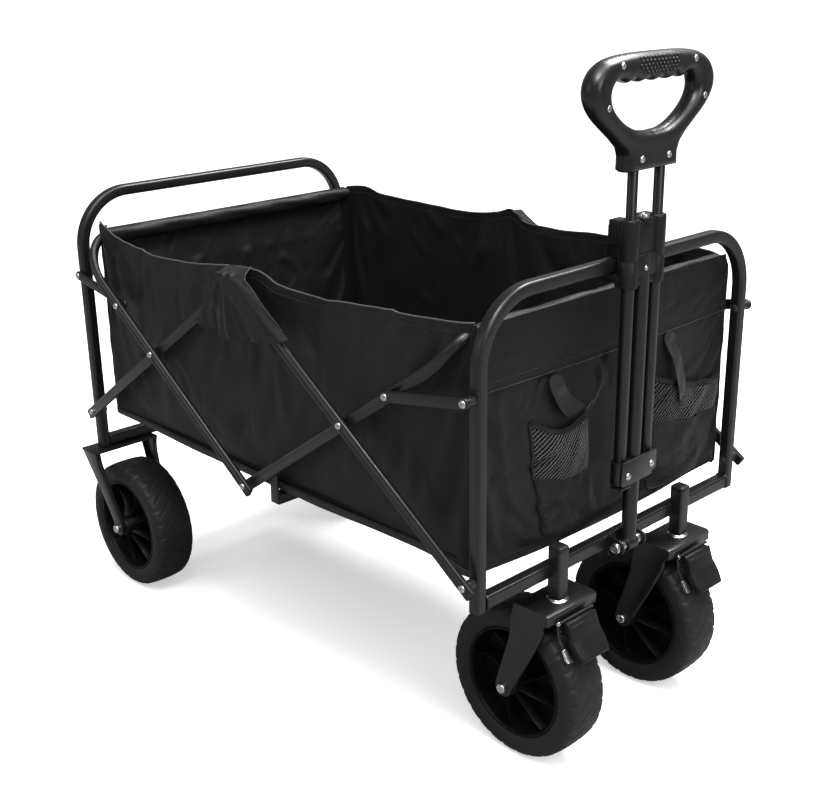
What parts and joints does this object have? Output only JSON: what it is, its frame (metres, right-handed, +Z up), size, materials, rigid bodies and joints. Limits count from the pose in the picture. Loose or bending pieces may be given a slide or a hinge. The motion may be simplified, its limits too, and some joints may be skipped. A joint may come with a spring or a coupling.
{
  "type": "folding camp wagon",
  "caption": "Folding camp wagon: scissor-framed fabric cargo bag on wide wheels, with swivelling braked front casters and a telescoping pull handle.",
  "frame": {"origin": "on the ground, midway between the front and rear end frames and midway between the left and right sides", "axes": "+X towards the pull handle (front), +Y to the wagon's left, +Z up"},
  "size_m": [0.9461, 0.557, 0.8533],
  "materials": {
    "powder_coat": "satin black powder coat",
    "zinc": "bright zinc plate",
    "plastic": "black moulded plastic",
    "grip_plastic": "satin black moulded grip",
    "hub_plastic": "black moulded wheel centre",
    "tyre": "dark grooved tread",
    "bag_fabric": "black woven oxford polyester",
    "board": "fibre stiffening board"
  },
  "bodies": {
    "rear_frame": {"rear_arch": "powder_coat", "rear_crossbar": "powder_coat", "rear_fork_right": "powder_coat", "rear_fork_left": "powder_coat", "rear_axle_bolt_right": "zinc", "rear_axle_bolt_left": "zinc", "rear_pivot_rivet_right": "zinc", "rear_pivot_rivet_left": "zinc"},
    "lower_bar_right": {"rear_scissor_bar_right": "powder_coat"},
    "lower_bar_left": {"rear_scissor_bar_left": "powder_coat"},
    "rear_bag_frame": {"rear_bag_frame_tube": "powder_coat"},
    "front_bag_frame": {"front_bag_frame_tube": "powder_coat", "bottom_cross_tube": "powder_coat"},
    "front_bar_right": {"front_scissor_bar_right": "powder_coat"},
    "front_bar_left": {"front_scissor_bar_left": "powder_coat"},
    "front_frame": {"front_arch": "powder_coat", "front_crossbar": "powder_coat", "caster_post_right": "powder_coat", "caster_post_left": "powder_coat", "caster_washer_right": "zinc", "caster_washer_left": "zinc", "handle_bracket": "powder_coat", "handle_pivot_bolt": "zinc", "front_pivot_rivet_right": "zinc", "front_pivot_rivet_left": "zinc"},
    "rear_link_right": {"rear_link_right": "powder_coat"},
    "rear_link_left": {"rear_link_left": "powder_coat"},
    "front_link_right": {"front_link_right": "powder_coat"},
    "front_link_left": {"front_link_left": "powder_coat"},
    "rear_wall": {"bag_rear_wall": "bag_fabric", "bag_body": "bag_fabric"},
    "front_wall": {"bag_front_wall": "bag_fabric"},
    "rear_floor_board": {"rear_floor_panel": "board"},
    "front_floor_board": {"front_floor_panel": "board"},
    "rear_wheel_right": {"rear_tyre_right": "tyre", "rear_wheel_hub_right": "hub_plastic"},
    "rear_wheel_left": {"rear_tyre_left": "tyre", "rear_wheel_hub_left": "hub_plastic"},
    "caster_right": {"front_fork_right": "powder_coat", "front_axle_bolt_right": "zinc", "brake_catch_right": "zinc"},
    "caster_left": {"front_fork_left": "powder_coat", "front_axle_bolt_left": "zinc", "brake_catch_left": "zinc"},
    "front_wheel_right": {"front_tyre_right": "tyre", "front_wheel_hub_right": "hub_plastic"},
    "front_wheel_left": {"front_tyre_left": "tyre", "front_wheel_hub_left": "hub_plastic"},
    "brake_pedal_right": {"brake_pedal_right": "plastic"},
    "brake_pedal_left": {"brake_pedal_left": "plastic"},
    "handle_lower": {"handle_centre_tube": "powder_coat", "handle_side_tube_right": "powder_coat", "handle_side_tube_left": "powder_coat", "handle_clamp": "powder_coat", "handle_collar": "plastic"},
    "handle_upper": {"handle_rod_right": "powder_coat", "handle_rod_left": "powder_coat", "grip_front_shell": "grip_plastic", "grip_rear_shell": "grip_plastic"},
    "release_button": {"release_button": "zinc"}
  },
  "joints": [
    {"name": "fold", "type": "hinge", "parent": "rear_frame", "child": "lower_bar_right", "pos_m": [-0.405, -0.26225, 0.2933], "axis": [0, -1, 0], "range_deg": [0, 45.4], "deforming": ["bag_body"]},
    {"name": "fold_lower_bar_left", "type": "hinge", "parent": "rear_frame", "child": "lower_bar_left", "pos_m": [-0.405, 0.26225, 0.2933], "axis": [0, -1, 0], "range_deg": [-0.5, 45.9]},
    {"name": "fold_rear_crossing", "type": "hinge", "parent": "lower_bar_right", "child": "rear_bag_frame", "pos_m": [-0.2025, -0.2717, 0.433], "axis": [0, -1, 0], "range_deg": [-91.8, 0.5]},
    {"name": "fold_bottom_middle", "type": "hinge", "parent": "rear_bag_frame", "child": "front_bag_frame", "pos_m": [0, -0.2717, 0.2933], "axis": [0, -1, 0], "range_deg": [-0.5, 91.8]},
    {"name": "fold_front_crossing_right", "type": "hinge", "parent": "front_bag_frame", "child": "front_bar_right", "pos_m": [0.2025, -0.2717, 0.433], "axis": [0, -1, 0], "range_deg": [-91.8, 0.5]},
    {"name": "fold_front_crossing_left", "type": "hinge", "parent": "front_bag_frame", "child": "front_bar_left", "pos_m": [0.2025, 0.2717, 0.433], "axis": [0, -1, 0], "range_deg": [-91.8, 0.5]},
    {"name": "fold_front_frame", "type": "hinge", "parent": "front_bar_right", "child": "front_frame", "pos_m": [0.405, -0.27205, 0.2933], "axis": [0, -1, 0], "range_deg": [-0.5, 45.9]},
    {"name": "fold_rear_link_right", "type": "hinge", "parent": "rear_frame", "child": "rear_link_right", "pos_m": [-0.405, -0.26225, 0.5103], "axis": [0, -1, 0], "range_deg": [-0.5, 89]},
    {"name": "fold_rear_link_left", "type": "hinge", "parent": "rear_frame", "child": "rear_link_left", "pos_m": [-0.405, 0.26225, 0.5103], "axis": [0, -1, 0], "range_deg": [-0.5, 89]},
    {"name": "fold_front_link_right", "type": "hinge", "parent": "front_frame", "child": "front_link_right", "pos_m": [0.405, -0.27205, 0.5103], "axis": [0, -1, 0], "range_deg": [-89, 0.5]},
    {"name": "fold_front_link_left", "type": "hinge", "parent": "front_frame", "child": "front_link_left", "pos_m": [0.405, 0.27205, 0.5103], "axis": [0, -1, 0], "range_deg": [-89, 0.5]},
    {"name": "fold_rear_wall", "type": "hinge", "parent": "rear_bag_frame", "child": "rear_wall", "pos_m": [-0.37, 0, 0.574], "axis": [0, -1, 0], "range_deg": [-0.5, 45.9]},
    {"name": "fold_front_wall", "type": "hinge", "parent": "front_bag_frame", "child": "front_wall", "pos_m": [0.37, 0, 0.574], "axis": [0, -1, 0], "range_deg": [-45.9, 0.5]},
    {"name": "fold_rear_floor", "type": "hinge", "parent": "rear_wall", "child": "rear_floor_board", "pos_m": [-0.362, 0, 0.301], "axis": [0, -1, 0], "range_deg": [-0.5, 87.5]},
    {"name": "fold_front_floor", "type": "hinge", "parent": "front_wall", "child": "front_floor_board", "pos_m": [0.362, 0, 0.301], "axis": [0, -1, 0], "range_deg": [-87.5, 0.5]},
    {"name": "rear_wheel_spin_right", "type": "hinge", "parent": "rear_frame", "child": "rear_wheel_right", "pos_m": [-0.372, -0.213, 0.1016], "axis": [0, 1, 0], "continuous": true},
    {"name": "rear_wheel_spin_left", "type": "hinge", "parent": "rear_frame", "child": "rear_wheel_left", "pos_m": [-0.372, 0.213, 0.1016], "axis": [0, 1, 0], "continuous": true},
    {"name": "caster_swivel_right", "type": "hinge", "parent": "front_frame", "child": "caster_right", "pos_m": [0.4213, -0.121, 0.225], "axis": [0, 0, 1], "continuous": true},
    {"name": "caster_swivel_left", "type": "hinge", "parent": "front_frame", "child": "caster_left", "pos_m": [0.4213, 0.121, 0.225], "axis": [0, 0, 1], "continuous": true},
    {"name": "front_wheel_spin_right", "type": "hinge", "parent": "caster_right", "child": "front_wheel_right", "pos_m": [0.37, -0.121, 0.1016], "axis": [0, 1, 0], "continuous": true},
    {"name": "front_wheel_spin_left", "type": "hinge", "parent": "caster_left", "child": "front_wheel_left", "pos_m": [0.37, 0.121, 0.1016], "axis": [0, 1, 0], "continuous": true},
    {"name": "brake_press_right", "type": "hinge", "parent": "caster_right", "child": "brake_pedal_right", "pos_m": [0.4435, -0.121, 0.214], "axis": [0, 1, 0], "range_deg": [-8, 14]},
    {"name": "brake_press_left", "type": "hinge", "parent": "caster_left", "child": "brake_pedal_left", "pos_m": [0.4435, 0.121, 0.214], "axis": [0, 1, 0], "range_deg": [-8, 14]},
    {"name": "handle_pitch", "type": "hinge", "parent": "front_frame", "child": "handle_lower", "pos_m": [0.4275, 0, 0.262], "axis": [0, 1, 0], "range_deg": [0, 100]},
    {"name": "handle_extend", "type": "slide", "parent": "handle_lower", "child": "handle_upper", "axis": [0, 0, 1], "range_m": [0, 0.2]},
    {"name": "handle_release", "type": "slide", "parent": "handle_lower", "child": "release_button", "axis": [0, 0, -1], "range_m": [0, 0.003]}
  ],
  "couplings": [
    {"joint": "fold_lower_bar_left", "follows": "fold", "ratio": 1},
    {"joint": "fold_rear_crossing", "follows": "fold", "ratio": -2},
    {"joint": "fold_bottom_middle", "follows": "fold", "ratio": 2},
    {"joint": "fold_front_crossing_right", "follows": "fold", "ratio": -2},
    {"joint": "fold_front_crossing_left", "follows": "fold", "ratio": -2},
    {"joint": "fold_front_frame", "follows": "fold", "ratio": 1},
    {"joint": "fold_rear_link_right", "follows": "fold", "ratio": 1.943},
    {"joint": "fold_rear_link_left", "follows": "fold", "ratio": 1.943},
    {"joint": "fold_front_link_right", "follows": "fold", "ratio": -1.943},
    {"joint": "fold_front_link_left", "follows": "fold", "ratio": -1.943},
    {"joint": "fold_rear_wall", "follows": "fold", "ratio": 1},
    {"joint": "fold_front_wall", "follows": "fold", "ratio": -1},
    {"joint": "fold_rear_floor", "follows": "fold", "ratio": 1.894},
    {"joint": "fold_front_floor", "follows": "fold", "ratio": -1.894}
  ]
}
